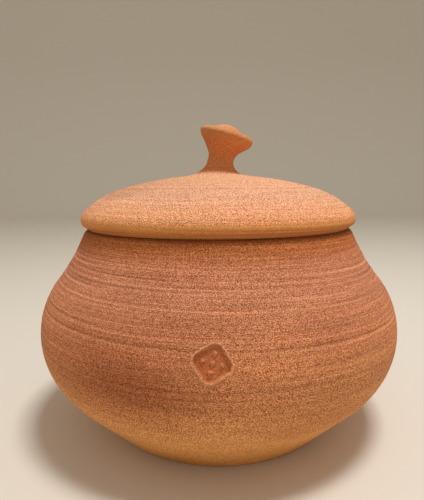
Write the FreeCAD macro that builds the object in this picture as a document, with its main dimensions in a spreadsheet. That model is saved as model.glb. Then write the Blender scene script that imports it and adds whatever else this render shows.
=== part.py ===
import FreeCAD, Part
import math
import os
import re
import Sketcher
from FreeCAD import Vector

# Lidded clay pot, thrown on a wheel: a round-bellied pot that stands on a flat trimmed foot,
# and a domed lid that rests on the rim, with a ring inside the mouth and a leaning knob on top.
# Millimetres and degrees. Z is up, and the origin is the centre of the foot, on the table.

doc = FreeCAD.newDocument("lidded_pot")
sheet = doc.addObject("Spreadsheet::Sheet", "sizes")

SIZES = [
    # The pot, from the foot up to the rim
    ("foot_inset", 43.6, "how far the foot's edge lies in from the widest place"),
    ("foot_round", 3.0, "rounding of the foot's edge"),
    ("belly_height", 67.2, "height of the widest place above the table"),
    ("belly_low_curve", 52.8, "radius of the curve below the widest place"),
    ("shoulder_rise", 34.6, "height of the shoulder above the widest place"),
    ("shoulder_flare", 12.2, "how far the widest place stands out from the shoulder"),
    ("neck_rise", 32.7, "height of the rim above the shoulder"),
    ("neck_flare", 19.6, "how far the shoulder stands out from the rim"),
    ("rim_radius", 88.2, "outer radius of the rim"),
    ("rim_width", 7.0, "width of the rim"),
    ("rim_outer_round", 3.4, "rounding of the rim's outer edge"),
    ("rim_inner_round", 1.2, "rounding of the mouth's edge"),
    ("wall", 6.5, "thickness of the pot's wall"),
    ("base_thickness", 8.0, "thickness of the pot's base"),
    ("floor_curve", 24.0, "rounding between floor and wall inside"),
    # The stamp in the belly
    ("stamp_turn", -2.2, "place of the stamp round the pot, from the front"),
    ("stamp_rise", 14.7, "angle of the stamp above the widest place"),
    ("stamp_side", 15.5, "side of the square stamp"),
    ("stamp_corner", 4.2, "rounding of the stamp's corners"),
    ("stamp_spin", 31.5, "turn of the square in its own plane"),
    ("stamp_depth", 1.9, "depth of the pressed square"),
    ("stamp_dot_radius", 1.3, "radius of the five raised dots in the stamp"),
    ("stamp_dot_spread", 3.3, "place of the outer dots from the middle, across and up"),
    ("stamp_dot_height", 0.8, "height of the dots above the pressed floor"),
    # The lid, from the rim up to the crown
    ("seat_inset", 2.0, "how far the lid's flat seat stops short of the rim's outside"),
    ("lid_overhang", 2.7, "how far the lid's widest place stands out past the rim"),
    ("lid_edge_rise", 5.4, "height of the lid's widest place above the rim"),
    ("lid_under_curve", 3.5, "radius of the curve below the lid's widest place"),
    ("lid_edge_curve", 11.3, "radius of the curve above the lid's widest place"),
    ("lid_shoulder_inset", 26.7, "how far the lid's shoulder lies in from its widest place"),
    ("lid_shoulder_rise", 20.4, "height of the lid's shoulder above its widest place"),
    ("lid_crown_rise", 8.4, "height of the lid's crown above its shoulder"),
    ("lid_wall", 7.0, "thickness of the lid's dome"),
    ("ring_clearance", 1.5, "gap between the lid's ring and the mouth"),
    ("ring_width", 6.0, "thickness of the lid's ring"),
    ("ring_depth", 9.0, "depth of the lid's ring below the rim's top"),
    ("ring_round", 1.5, "rounding of the ring's lower edges"),
    ("hollow_round", 8.0, "rounding between the ring and the hollow of the dome"),
    # The head of the knob, above its widest section
    ("head_round", 2.8, "rounding of the head's upper edge"),
    ("ledge_width", 3.4, "width of the ledge between the head's edge and its button"),
    ("ledge_drop", 1.1, "depth of that ledge"),
    ("button_rise", 4.6, "height of the button above the top of the head's edge"),
    ("button_round", 2.5, "rounding between the ledge and the button"),
]

# Sections of the knob from its root to the head's edge: each is a circle, with its rise above
# the section before it, how much wider it is than that one, its shift towards +X and its lean
# down towards +X. The first counts from the lid's crown and lies within the clay of the dome.
KNOB_SECTIONS = [
    ("knob_base", -4.0, 19.0, -2.0, 0.0),
    ("knob_flare", 4.6, -5.4, -0.6, 0.0),
    ("knob_low", 3.2, -3.2, 0.1, 0.0),
    ("knob_waist", 5.4, -1.6, 1.2, 1.0),
    ("knob_throat", 4.3, 0.8, 2.8, 5.5),
    ("knob_under", 4.9, 3.8, 3.7, 14.5),
    ("knob_swell", 3.4, 3.4, 4.6, 16.0),
    ("knob_edge", 2.9, 1.2, 5.3, 16.0),
]
for name, rise, growth, shift, lean in KNOB_SECTIONS:
    SIZES += [
        (name + "_rise", rise, "rise above the section before"),
        (name + "_growth", growth, "radius over that of the section before"),
        (name + "_shift", shift, "shift of the section towards +X"),
        (name + "_lean", lean, "lean of the section down towards +X"),
    ]

value = {}
for row, (alias, number, meaning) in enumerate(SIZES, start=1):
    sheet.set(f"A{row}", meaning)
    sheet.set(f"B{row}", str(number))
    sheet.setAlias(f"B{row}", alias)
    value[alias] = number
doc.recompute()

# Sizes that follow from the others, in the words of an expression
BELLY_RADIUS = "(rim_radius + neck_flare + shoulder_flare)"
BELLY_HIGH_CURVE = "((shoulder_flare ^ 2 + shoulder_rise ^ 2) / (2 * shoulder_flare))"
RIM_HEIGHT = "(belly_height + shoulder_rise + neck_rise)"
MOUTH_RADIUS = "(rim_radius - rim_width)"
RING_RADIUS = f"({MOUTH_RADIUS} - ring_clearance)"
RING_LOW_HEIGHT = f"({RIM_HEIGHT} - ring_depth)"
LID_RADIUS = "(rim_radius + lid_overhang)"
LID_EDGE_HEIGHT = f"({RIM_HEIGHT} + lid_edge_rise)"
LID_SHOULDER_HEIGHT = f"({LID_EDGE_HEIGHT} + lid_shoulder_rise)"
CROWN_HEIGHT = f"({LID_SHOULDER_HEIGHT} + lid_crown_rise)"

# Places in the half sections, across from the axis and up from the table
ORIGIN = ("0", "0")
FOOT = (f"{BELLY_RADIUS} - foot_inset", "0")
BELLY = (BELLY_RADIUS, "belly_height")
SHOULDER = (f"{BELLY_RADIUS} - shoulder_flare", "belly_height + shoulder_rise")
RIM = ("rim_radius", RIM_HEIGHT)
MOUTH = (MOUTH_RADIUS, RIM_HEIGHT)
INNER_BELLY = (f"{BELLY_RADIUS} - wall", "belly_height")
FLOOR = ("0", "base_thickness")
CROWN = ("0", CROWN_HEIGHT)
LID_SHOULDER = (f"{LID_RADIUS} - lid_shoulder_inset", LID_SHOULDER_HEIGHT)
LID_EDGE = (LID_RADIUS, LID_EDGE_HEIGHT)
SEAT_EDGE = ("rim_radius - seat_inset", RIM_HEIGHT)
SEAT_INNER = (RING_RADIUS, RIM_HEIGHT)
RING_LOW = (RING_RADIUS, RING_LOW_HEIGHT)
RING_LOW_INNER = (f"{RING_RADIUS} - ring_width", RING_LOW_HEIGHT)
HOLLOW_TOP = ("0", f"{CROWN_HEIGHT} - lid_wall")

SAME = 0.01  # places closer than this are one place


def bound(text):
    """Point each word that names a size at its cell of the sheet."""
    return re.sub("[a-z_]+", lambda word: ("sizes." if word[0] in value else "") + word[0], text)


def number(text):
    """What an expression comes to."""
    result = sheet.evalExpression(bound(text))
    return getattr(result, "Value", result)


def spot(across, up):
    return Vector(number(across), number(up), 0)


def bend(start, heading, end):
    """The centre of the arc that leaves start along heading and comes to end."""
    step = end - start
    side = Vector(-heading.y, heading.x, 0)
    return start + side * (step.dot(step) / (2 * step.dot(side)))


def graze(point, centre, radius):
    """Where a line from the point touches the right side of a circle."""
    reach = centre - point
    turn = math.degrees(math.asin(radius / reach.Length))
    length = math.sqrt(reach.Length**2 - radius**2)
    return point + FreeCAD.Rotation(-turn, 0, 0) * reach.normalize() * length


def blend(start, inward, centre, radius):
    """The centre of the arc that starts with its middle to the inward side and runs into a circle."""
    gap = start - centre
    reach = (radius**2 - gap.dot(gap)) / (2 * (inward.dot(gap) + radius))
    return start + inward * reach


class Outline:
    """An outline drawn at its true size, stretch after stretch, and then held by constraints."""

    # A sketch counts the ends of a stretch as 1 and 2 and its centre as 3, and its own axes as
    # -1 across and -2 up.

    def __init__(self, sketch, start):
        self.sketch = sketch
        self.here = start
        self.ends = []

    def line_to(self, place, joint="Coincident"):
        return self.add(Part.LineSegment(self.here, place), place, joint, (1, 2))

    def arc_to(self, place, centre, joint="Tangent"):
        """The short way round the centre. The sketch draws each arc anticlockwise."""
        left = (self.here - centre).cross(place - centre).z > 0
        ends = (self.here, place) if left else (place, self.here)
        turns = [math.atan2(end.y - centre.y, end.x - centre.x) for end in ends]
        circle = Part.Circle(centre, Vector(0, 0, 1), (place - centre).Length)
        return self.add(Part.ArcOfCircle(circle, *turns), place, joint, (1, 2) if left else (2, 1))

    def add(self, shape, place, joint, ends):
        index = self.sketch.addGeometry(shape, False)
        if self.ends:
            self.hold(joint, index - 1, self.ends[-1][1], index, ends[0])
        self.ends.append(ends)
        self.here = place
        return index

    def close(self, joint="Coincident"):
        self.hold(joint, len(self.ends) - 1, self.ends[-1][1], 0, self.ends[0][0])

    def circle(self, by, where):
        """A circle by itself, held by its radius and the place of its centre."""
        shape = Part.Circle(spot(*where), Vector(0, 0, 1), number(by))
        index = self.sketch.addGeometry(shape, False)
        self.size("Radius", index, by=by)
        self.place(index, "centre", *where)

    def hold(self, kind, *where):
        return self.sketch.addConstraint(Sketcher.Constraint(kind, *where))

    def size(self, kind, *where, by):
        index = self.hold(kind, *where, number(by))
        name = f"held_{index}"
        self.sketch.renameConstraint(index, name)
        self.sketch.setExpression("Constraints." + name, bound(by))

    def place(self, item, end, across=None, up=None):
        """Hold an end or the centre of a stretch by its distances across and up."""
        point = 3 if end == "centre" else self.ends[item][end == "last"]
        for kind, axis, distance in (("DistanceX", -2, across), ("DistanceY", -1, up)):
            if distance == "0":
                self.hold("PointOnObject", item, point, axis)
            elif distance:
                self.size(kind, -1, 1, item, point, by=distance)


def new_body(name):
    body = doc.addObject("PartDesign::Body", name)
    body.Label = name
    return body


def new_sketch(body, name, role):
    sketch = body.newObject("Sketcher::SketchObject", name)
    plane = next(item for item in body.Origin.OriginFeatures if item.Role == role)
    sketch.AttachmentSupport = [(plane, "")]
    sketch.MapMode = "FlatFace"
    return sketch


def revolve(body, name, sketch):
    doc.recompute()
    feature = body.newObject("PartDesign::Revolution", name)
    feature.Profile = sketch
    feature.ReferenceAxis = (sketch, ["V_Axis"])
    feature.Angle = 360.0
    doc.recompute()
    return feature


def round_edges(body, name, before, places, by):
    """Round the circular edges that lie at the given places, each a radius and a centre."""
    names = []
    for index, edge in enumerate(before.Shape.Edges, start=1):
        if edge.Degenerated or not isinstance(edge.Curve, Part.Circle):
            continue
        circle = edge.Curve
        if any(abs(circle.Radius - r) + (circle.Center - c).Length < SAME for r, c in places):
            names.append(f"Edge{index}")
    assert len(names) == len(places), (name, names)
    feature = body.newObject("PartDesign::Fillet", name)
    feature.Base = (before, names)
    feature.setExpression("Radius", bound(by))
    doc.recompute()
    return feature


def edge_at(corner):
    """The radius and centre of the edge that a corner of a half section draws round the axis."""
    return corner.x, Vector(0, 0, corner.y)


def make_pot():
    body = new_body("pot")
    sketch = new_sketch(body, "wall_section", "XZ_Plane")
    wall = value["wall"]
    foot = spot(*FOOT)
    belly = spot(*BELLY)
    shoulder = spot(*SHOULDER)
    rim = spot(*RIM)
    mouth = spot(*MOUTH)
    low_centre = belly - Vector(value["belly_low_curve"], 0, 0)
    high_centre = bend(belly, Vector(0, 1, 0), shoulder)
    trimmed_top = graze(foot, low_centre, value["belly_low_curve"])
    out = (shoulder - high_centre).normalize()
    heading = Vector(-out.y, out.x, 0)
    inner_shoulder = shoulder - out * wall
    inner_top = trimmed_top + (low_centre - trimmed_top).normalize() * wall
    slope = (trimmed_top - foot) / trimmed_top.y
    inner_foot = inner_top - slope * (inner_top.y - value["base_thickness"])

    # Outside, from the middle of the foot up to the rim
    draw = Outline(sketch, spot(*ORIGIN))
    under = draw.line_to(foot)
    trimmed = draw.line_to(trimmed_top)
    belly_low = draw.arc_to(belly, low_centre)
    belly_high = draw.arc_to(shoulder, high_centre, "Coincident")
    neck = draw.arc_to(rim, bend(shoulder, heading, rim))
    rim_top = draw.line_to(mouth)
    # Inside, from the mouth down to the middle of the floor
    draw.arc_to(inner_shoulder, bend(inner_shoulder, heading, mouth), "Coincident")
    inner_high = draw.arc_to(spot(*INNER_BELLY), high_centre)
    inner_low = draw.arc_to(inner_top, low_centre, "Coincident")
    inner_wall = draw.line_to(inner_foot, "Tangent")
    floor = draw.line_to(spot(*FLOOR))
    draw.line_to(spot(*ORIGIN))
    draw.close()
    # A guide across the wall at the shoulder, where inside and outside run side by side
    guide = sketch.addGeometry(Part.LineSegment(high_centre, shoulder), True)

    draw.place(under, "first", *ORIGIN)
    draw.place(under, "last", *FOOT)
    draw.size("Radius", belly_low, by="belly_low_curve")
    draw.place(belly_low, "centre", up="belly_height")
    draw.place(belly_low, "last", *BELLY)
    draw.place(belly_high, "centre", up="belly_height")
    draw.place(belly_high, "last", *SHOULDER)
    draw.place(neck, "last", *RIM)
    draw.place(rim_top, "last", *MOUTH)
    draw.hold("Coincident", guide, 1, belly_high, 3)
    draw.hold("Coincident", guide, 2, belly_high, draw.ends[belly_high][1])
    draw.hold("PointOnObject", inner_high, draw.ends[inner_high][0], guide)
    draw.hold("Coincident", inner_high, 3, belly_high, 3)
    draw.place(inner_high, "last", *INNER_BELLY)
    draw.hold("Coincident", inner_low, 3, belly_low, 3)
    draw.hold("Parallel", inner_wall, trimmed)
    draw.place(inner_wall, "last", up="base_thickness")
    draw.place(floor, "last", *FLOOR)

    last = revolve(body, "thrown_wall", sketch)
    last = round_edges(body, "floor_corner", last, [edge_at(inner_foot)], "floor_curve")
    last = round_edges(body, "rim_outer_edge", last, [edge_at(rim)], "rim_outer_round")
    last = round_edges(body, "rim_inner_edge", last, [edge_at(mouth)], "rim_inner_round")
    round_edges(body, "foot_edge", last, [edge_at(foot)], "foot_round")
    press_stamp(body)
    return body


def stamp_sketch(body, name, depth):
    """A sketch laid flat against the belly, sunk by depth and turned as the stamp was held."""
    sketch = new_sketch(body, name, "XZ_Plane")
    out = f"({BELLY_HIGH_CURVE} - {depth})"
    reach = f"({BELLY_RADIUS} - {BELLY_HIGH_CURVE} + {out} * cos(stamp_rise))"
    height = f"belly_height + {out} * sin(stamp_rise)"
    middle = f"vector({reach} * sin(stamp_turn); {height}; {reach} * cos(stamp_turn))"
    facing = "rotation(0; stamp_turn; -1 * stamp_rise) * rotation(stamp_spin; 0; 0)"
    sketch.setExpression("AttachmentOffset", bound(f"placement({middle}; {facing})"))
    return sketch


def press_stamp(body):
    """A rounded square pressed into the belly, with five raised dots on its floor."""
    before = body.Shape.Volume
    half = value["stamp_side"] / 2
    inner = half - value["stamp_corner"]
    sketch = stamp_sketch(body, "stamp_square", "0")
    draw = Outline(sketch, Vector(half, -inner, 0))
    sides = []
    corners = []
    for turn in range(4):
        spin = FreeCAD.Rotation(90 * turn, 0, 0)
        sides.append(draw.line_to(spin * Vector(half, inner, 0), "Tangent"))
        corners.append(draw.arc_to(spin * Vector(inner, half, 0), spin * Vector(inner, inner, 0)))
        draw.hold("Horizontal" if turn % 2 else "Vertical", sides[turn])
        if turn:
            draw.hold("Equal", corners[0], corners[turn])
    draw.close("Tangent")
    draw.size("Radius", corners[0], by="stamp_corner")
    draw.place(sides[0], "last", "stamp_side / 2", "stamp_side / 2 - stamp_corner")
    draw.place(sides[2], "last", "-1 * stamp_side / 2", "stamp_corner - stamp_side / 2")
    pocket = body.newObject("PartDesign::Pocket", "pressed_square")
    pocket.Profile = sketch
    pocket.setExpression("Length", bound("stamp_depth"))
    doc.recompute()
    pressed = body.Shape.Volume
    assert pressed < before, "the stamp presses nothing in"

    sketch = stamp_sketch(body, "stamp_dots_plan", "stamp_depth")
    draw = Outline(sketch, spot(*ORIGIN))
    draw.circle("stamp_dot_radius", ORIGIN)
    for across, up in ((1, 1), (-1, 1), (-1, -1), (1, -1)):
        where = (f"{across} * stamp_dot_spread", f"{up} * stamp_dot_spread")
        draw.circle("stamp_dot_radius", where)
    dots = body.newObject("PartDesign::Pad", "stamp_dots")
    dots.Profile = sketch
    dots.setExpression("Length", bound("stamp_dot_height"))
    doc.recompute()
    assert pressed < body.Shape.Volume < before, "the dots stand on nothing"


def make_lid():
    body = new_body("lid")
    sketch = new_sketch(body, "lid_section", "XZ_Plane")
    wall = value["lid_wall"]
    crown = spot(*CROWN)
    shoulder = spot(*LID_SHOULDER)
    edge = spot(*LID_EDGE)
    seat_edge = spot(*SEAT_EDGE)
    ring_low = spot(*RING_LOW)
    ring_low_inner = spot(*RING_LOW_INNER)
    crown_centre = bend(crown, Vector(1, 0, 0), shoulder)
    edge_centre = edge - Vector(value["lid_edge_curve"], 0, 0)
    under_centre = edge - Vector(value["lid_under_curve"], 0, 0)
    inward = (crown_centre - shoulder).normalize()
    side_centre = blend(shoulder, inward, edge_centre, value["lid_edge_curve"])
    side_out = (edge_centre - side_centre).normalize()
    edge_top = edge_centre + side_out * value["lid_edge_curve"]
    bevel_top = graze(seat_edge, under_centre, value["lid_under_curve"])
    hollow_curve = (shoulder - side_centre).Length - wall
    hollow_rise = math.sqrt(hollow_curve**2 - (ring_low_inner.x - side_centre.x) ** 2)
    hollow_foot = Vector(ring_low_inner.x, side_centre.y + hollow_rise, 0)

    # Outside, from the crown down to the seat
    draw = Outline(sketch, crown)
    dome = draw.arc_to(shoulder, crown_centre)
    side = draw.arc_to(edge_top, side_centre)
    edge_arc = draw.arc_to(edge, edge_centre)
    under = draw.arc_to(bevel_top, under_centre, "Coincident")
    bevel = draw.line_to(seat_edge, "Tangent")
    seat = draw.line_to(spot(*SEAT_INNER))
    # The ring that hangs in the mouth, and the hollow of the dome
    ring_out = draw.line_to(ring_low)
    ring_end = draw.line_to(ring_low_inner)
    ring_in = draw.line_to(hollow_foot)
    hollow_side = draw.arc_to(shoulder + inward * wall, side_centre, "Coincident")
    hollow_crown = draw.arc_to(spot(*HOLLOW_TOP), crown_centre)
    draw.line_to(crown)
    draw.close()

    draw.place(dome, "centre", "0")
    draw.place(dome, "first", *CROWN)
    draw.place(dome, "last", *LID_SHOULDER)
    draw.size("Radius", edge_arc, by="lid_edge_curve")
    draw.place(edge_arc, "centre", up=LID_EDGE_HEIGHT)
    draw.place(edge_arc, "last", *LID_EDGE)
    draw.size("Radius", under, by="lid_under_curve")
    draw.place(under, "centre", up=LID_EDGE_HEIGHT)
    draw.place(bevel, "last", *SEAT_EDGE)
    draw.place(seat, "last", *SEAT_INNER)
    draw.place(ring_out, "last", *RING_LOW)
    draw.place(ring_end, "last", *RING_LOW_INNER)
    draw.hold("Vertical", ring_in)
    draw.hold("Coincident", hollow_side, 3, side, 3)
    draw.hold("Coincident", hollow_crown, 3, dome, 3)
    draw.place(hollow_crown, "last", *HOLLOW_TOP)

    last = revolve(body, "thrown_dome", sketch)
    ring_corners = [edge_at(ring_low), edge_at(ring_low_inner)]
    last = round_edges(body, "ring_edges", last, ring_corners, "ring_round")
    round_edges(body, "hollow_edge", last, [edge_at(hollow_foot)], "hollow_round")
    make_knob(body)
    return body


def make_knob(body):
    """The knob grows out of the crown, narrows to a waist and opens into a leaning head."""
    before = body.Shape.Volume
    height = CROWN_HEIGHT
    radius = "0"
    sections = []
    for name, *_ in KNOB_SECTIONS:
        height += f" + {name}_rise"
        radius += f" + {name}_growth"
        sketch = new_sketch(body, name, "XY_Plane")
        middle = f"vector({name}_shift; 0; {height})"
        turn = f"rotation(0; {name}_lean; 0)"
        sketch.setExpression("AttachmentOffset", bound(f"placement({middle}; {turn})"))
        Outline(sketch, spot(*ORIGIN)).circle(radius, ORIGIN)
        sections.append(sketch)
    loft = body.newObject("PartDesign::AdditiveLoft", "knob_stem")
    loft.Profile = sections[0]
    loft.Sections = sections[1:]
    doc.recompute()
    assert body.Shape.Volume > before, "the knob adds nothing"

    sketch = new_sketch(body, "knob_head_section", "XZ_Plane")
    middle = f"vector(knob_edge_shift; {height}; 0)"
    turn = "rotation(-1 * knob_edge_lean; 0; 0)"
    sketch.setExpression("AttachmentOffset", bound(f"placement({middle}; {turn})"))
    lip = f"{radius} - head_round"
    button_foot = (f"{lip} - ledge_width", "head_round - ledge_drop")
    button_top = ("0", "head_round + button_rise")
    foot = spot(*button_foot)
    top = spot(*button_top)
    draw = Outline(sketch, spot(*ORIGIN))
    flat = draw.line_to(spot(radius, "0"))
    rounding = draw.arc_to(spot(lip, "head_round"), spot(lip, "0"), "Coincident")
    ledge = draw.line_to(foot)
    button = draw.arc_to(top, bend(top, Vector(1, 0, 0), foot), "Coincident")
    draw.line_to(spot(*ORIGIN))
    draw.close()
    draw.place(flat, "first", *ORIGIN)
    draw.place(flat, "last", radius, "0")
    draw.place(rounding, "centre", lip, "0")
    draw.place(rounding, "last", lip)
    draw.place(ledge, "last", *button_foot)
    draw.place(button, "centre", "0")
    draw.place(button, "last", *button_top)
    head = revolve(body, "knob_head", sketch)
    ring = (foot.x, sketch.Placement.multVec(Vector(0, foot.y, 0)))
    round_edges(body, "button_foot", head, [ring], "button_round")


pot = make_pot()
lid = make_lid()

for item in doc.Objects:
    if "Invalid" in item.State or "Error" in item.State:
        raise RuntimeError(item.Name + " failed: " + str(item.State))
os.makedirs("parts", exist_ok=True)
for piece in (pot, lid):
    shape = piece.Shape
    if shape.isNull() or not shape.isValid() or len(shape.Solids) != 1:
        raise RuntimeError(piece.Label + " is not one valid solid")
    shape.exportStep("parts/" + piece.Label + ".step")
    litres = shape.Volume / 1e6
    print(piece.Label, "solid volume", round(litres, 3), "litres")
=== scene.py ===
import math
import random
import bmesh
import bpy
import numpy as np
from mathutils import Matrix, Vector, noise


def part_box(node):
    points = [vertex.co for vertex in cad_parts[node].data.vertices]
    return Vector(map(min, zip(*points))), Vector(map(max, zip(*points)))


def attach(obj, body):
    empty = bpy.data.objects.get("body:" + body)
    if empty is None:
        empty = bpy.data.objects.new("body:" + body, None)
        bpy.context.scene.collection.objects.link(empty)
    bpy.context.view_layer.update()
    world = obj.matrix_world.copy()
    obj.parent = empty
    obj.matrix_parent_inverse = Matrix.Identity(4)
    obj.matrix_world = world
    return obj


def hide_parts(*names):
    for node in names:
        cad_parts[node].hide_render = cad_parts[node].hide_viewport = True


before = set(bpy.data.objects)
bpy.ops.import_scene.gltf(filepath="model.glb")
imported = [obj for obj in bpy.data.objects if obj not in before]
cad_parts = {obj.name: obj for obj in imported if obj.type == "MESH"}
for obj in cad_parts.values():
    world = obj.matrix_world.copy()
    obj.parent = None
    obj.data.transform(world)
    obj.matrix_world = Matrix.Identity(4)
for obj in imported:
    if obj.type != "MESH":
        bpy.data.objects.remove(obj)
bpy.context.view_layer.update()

# %% [markdown]
# # A lidded clay pot
# The pot and its lid were thrown on a wheel, so each is a turned form: one half section, swept
# round an axis. The construction already exists as plain solids in a frame, at its real size.
# This lesson dresses it: finer meshes with the marks of the potter's hands, and unglazed clay.
# Half sections are written in millimetres, because they are easy to check with a ruler, and
# become metres when the mesh is made.

MM = 0.001
pot_low, pot_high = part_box("pot")
lid_low, lid_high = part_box("lid")
belly_radius = (pot_high[0] - pot_low[0]) / 2 / MM
rim_height = pot_high[2] / MM
print("belly radius", round(belly_radius, 2), "mm, rim at", round(rim_height, 2), "mm")
print("lid radius", round((lid_high[0] - lid_low[0]) / 2 / MM, 2), "mm")
print("top of the knob", round(lid_high[2] / MM, 2), "mm")

# %% [markdown]
# ## The camera
# The camera stands close by, two and a half belly radii from the axis and almost level with the
# crown of the lid, and looks a little down. The outline of the turned form gives this place, so
# it is set by numbers. It could also be placed by eye, but a small change of height shows at once
# in the ellipses of rim and foot.

# %% Camera
CAMERA_PLACE = Vector((-0.0387, -2.5647, 1.334))  # in belly radii
LOOKS_DOWN, ROLL, TURN = 11.79, 0.42, -0.18  # in degrees
camera_data = bpy.data.cameras.new("camera")
camera_data.sensor_width = 36.0
camera_data.lens = 31.82
camera_data.shift_y = 0.06
camera = bpy.data.objects.new("camera", camera_data)
camera.location = CAMERA_PLACE * belly_radius * MM
camera.rotation_euler = [math.radians(angle) for angle in (90 - LOOKS_DOWN, ROLL, TURN)]
bpy.context.scene.collection.objects.link(camera)
bpy.context.scene.camera = camera
print("camera", [round(x, 3) for x in camera.location], "metres from the middle of the foot")

# %% [markdown]
# ## Half sections
# A turned piece is drawn as half a section: points by their distance from the axis and their
# height. A potter's curve is close to a few arcs that flow into each other. Arcs are quick to
# write, and their points lie evenly, which the throwing marks need. One Bezier curve would need
# fewer numbers, but its points bunch where it bends.

# %% Arcs and straight stretches
def around(centre, start, end, step):
    """Points the short way round a centre."""
    out = start - centre
    turn = out.angle_signed(end - centre)
    count = max(2, round(abs(turn) * out.length / step))
    return [centre + Matrix.Rotation(-turn * i / count, 2) @ out for i in range(count + 1)]


def straight(start, end, step):
    count = max(1, round((end - start).length / step))
    return [start.lerp(end, i / count) for i in range(count + 1)]


def bend(start, heading, end):
    """The centre of the arc that leaves start along heading and comes to end."""
    chord = end - start
    side = Vector((-heading.y, heading.x))
    return start + side * (chord.dot(chord) / (2 * chord.dot(side)))


def touch(start, centre, radius):
    """Where a straight line that leaves start passes to the right of a circle and touches it."""
    reach = centre - start
    turn = math.asin(radius / reach.length)
    return start + Matrix.Rotation(-turn, 2) @ reach * math.cos(turn)


quarter = around(Vector((0, 0)), Vector((1, 0)), Vector((0, 1)), step=0.2)
print("a quarter turn in", len(quarter), "points, ending at", [round(x, 3) for x in quarter[-1]])

# %% [markdown]
# Stretches are joined end to end, and then a corner can be rounded, as a thumb or a wet sponge
# rounds it. The Bevel modifier could do that on the swept mesh, but it would round a whole loop
# of many faces, where here it is one corner of a line.

# %% Joined stretches and rounded corners
SAME_POINT = 0.02


def join(*stretches):
    """One line of all the stretches, with no point twice."""
    line = []
    for point in [point for stretch in stretches for point in stretch]:
        if not line or (point - line[-1]).length > SAME_POINT:
            line.append(point)
    return line


def soften(line, corner, radius, step=0.5):
    """Round a corner of the line: the points that run up to it give way to an arc."""
    before = after = min(range(len(line)), key=lambda i: (line[i] - corner).length)
    back = (line[before - 1] - corner).normalized()
    on = (line[after + 1] - corner).normalized()
    half = back.angle(on) / 2
    reach = radius / math.tan(half)
    while (line[before] - corner).length <= reach:
        before -= 1
    while (line[after] - corner).length <= reach:
        after += 1
    centre = corner + (back + on).normalized() * radius / math.sin(half)
    arc = around(centre, corner + back * reach, corner + on * reach, step)
    return join(line[:before + 1], arc, line[after:])


bent = [Vector((0, 0)), Vector((9, 0)), Vector((9, 9))]
print("a corner of three points, rounded, has", len(soften(bent, bent[1], radius=2.0)), "points")

# %% [markdown]
# ## The pot's wall
# A wheel-thrown pot has a flat foot, a wall trimmed straight below the belly, a round belly that
# turns in at the shoulder, and a short hollow neck up to a plain rim. Each of these is one arc or
# one straight stretch here, and above the foot each leaves the one before it without a corner. A
# curve drawn by hand would be as round, but nobody could say its sizes.

# %% The pot's outside
FOOT_INSET = 43.6
BELLY_HEIGHT = 67.2
BELOW_BELLY = 52.8  # the radius of the arc that runs down from the belly
RIM_RADIUS = 88.2
foot = Vector((belly_radius - FOOT_INSET, 0))
belly = Vector((belly_radius, BELLY_HEIGHT))
shoulder = Vector((107.8, 101.8))
rim = Vector((RIM_RADIUS, rim_height))
low_centre = belly - Vector((BELOW_BELLY, 0))
trimmed_top = touch(foot, low_centre, BELOW_BELLY)
high_centre = bend(belly, Vector((0, 1)), shoulder)
out = (shoulder - high_centre).normalized()
heading = Vector((-out.y, out.x))
outside = join(
    straight(Vector((0, 0)), foot, step=8.0),
    straight(foot, trimmed_top, step=1.0),
    around(low_centre, trimmed_top, belly, step=0.8),
    around(high_centre, belly, shoulder, step=0.36),
    around(bend(shoulder, heading, rim), shoulder, rim, step=0.42),
)
print("the wall is trimmed straight up to", round(trimmed_top.y, 1), "mm")

# %% [markdown]
# The inside follows the outside at the thickness of the wall, so its arcs have the same centres.
# The Solidify modifier would give a wall too, but not the flat base and the rounded hollow over
# it. The section closes on the axis at both ends, so the swept form is solid clay with a real
# inside.

# %% The pot's inside, and its rounded corners
WALL = 6.5
BASE = 8.0
RIM_WIDTH = 7.0
FOOT_ROUND, RIM_ROUND, MOUTH_ROUND, HOLLOW_ROUND = 3.0, 5.5, 1.2, 24.0
COARSE = 2.4  # the step of points where nobody looks closely
mouth = rim - Vector((RIM_WIDTH, 0))
inner_shoulder = shoulder - out * WALL
inner_belly = belly - Vector((WALL, 0))
inner_top = trimmed_top.lerp(low_centre, WALL / BELOW_BELLY)
slope = (trimmed_top - foot).normalized()
inner_foot = inner_top - slope * (inner_top.y - BASE) / slope.y
inside = join(
    straight(rim, mouth, step=1.0),
    around(bend(inner_shoulder, heading, mouth), mouth, inner_shoulder, step=1.2),
    around(high_centre, inner_shoulder, inner_belly, COARSE),
    around(low_centre, inner_belly, inner_top, COARSE),
    straight(inner_top, inner_foot, COARSE),
    straight(inner_foot, Vector((0, BASE)), COARSE),
)
pot_section = join(outside, inside)
for corner, radius in ((foot, FOOT_ROUND), (rim, RIM_ROUND), (mouth, MOUTH_ROUND)):
    pot_section = soften(pot_section, corner, radius)
pot_section = soften(pot_section, inner_foot, HOLLOW_ROUND, COARSE)
print("the pot's half section has", len(pot_section), "points")

# %% [markdown]
# ## Sweeping a section
# The spin operator sweeps the section round the axis. The pot is swept in two turns: a narrow one
# with closer steps where the stamp will be, and a wide one for the rest. Both start from the same
# line, so merging the doubles closes the seam and the two poles. A screw modifier does the same
# sweep, but all its steps are equal, and the stamp would need a very heavy mesh.

# %% Sweep and finish a turned mesh
def swept(section, first, sweeps):
    """Spin a half section round the axis, from an angle, by sweeps of degrees and steps."""
    mesh = bmesh.new()
    turn = Matrix.Rotation(math.radians(first), 3, "Z")
    points = [mesh.verts.new(turn @ Vector((p.x, 0, p.y)) * MM) for p in section]
    line = [mesh.edges.new(pair) for pair in zip(points, points[1:])]
    for degrees, steps in sweeps:
        bmesh.ops.spin(
            mesh, geom=points + line, cent=(0, 0, 0), axis=(0, 0, 1),
            angle=math.radians(degrees), steps=steps, use_merge=False,
        )
    bmesh.ops.remove_doubles(mesh, verts=mesh.verts, dist=SAME_POINT * MM)
    bmesh.ops.recalc_face_normals(mesh, faces=mesh.faces)
    return mesh


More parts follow.
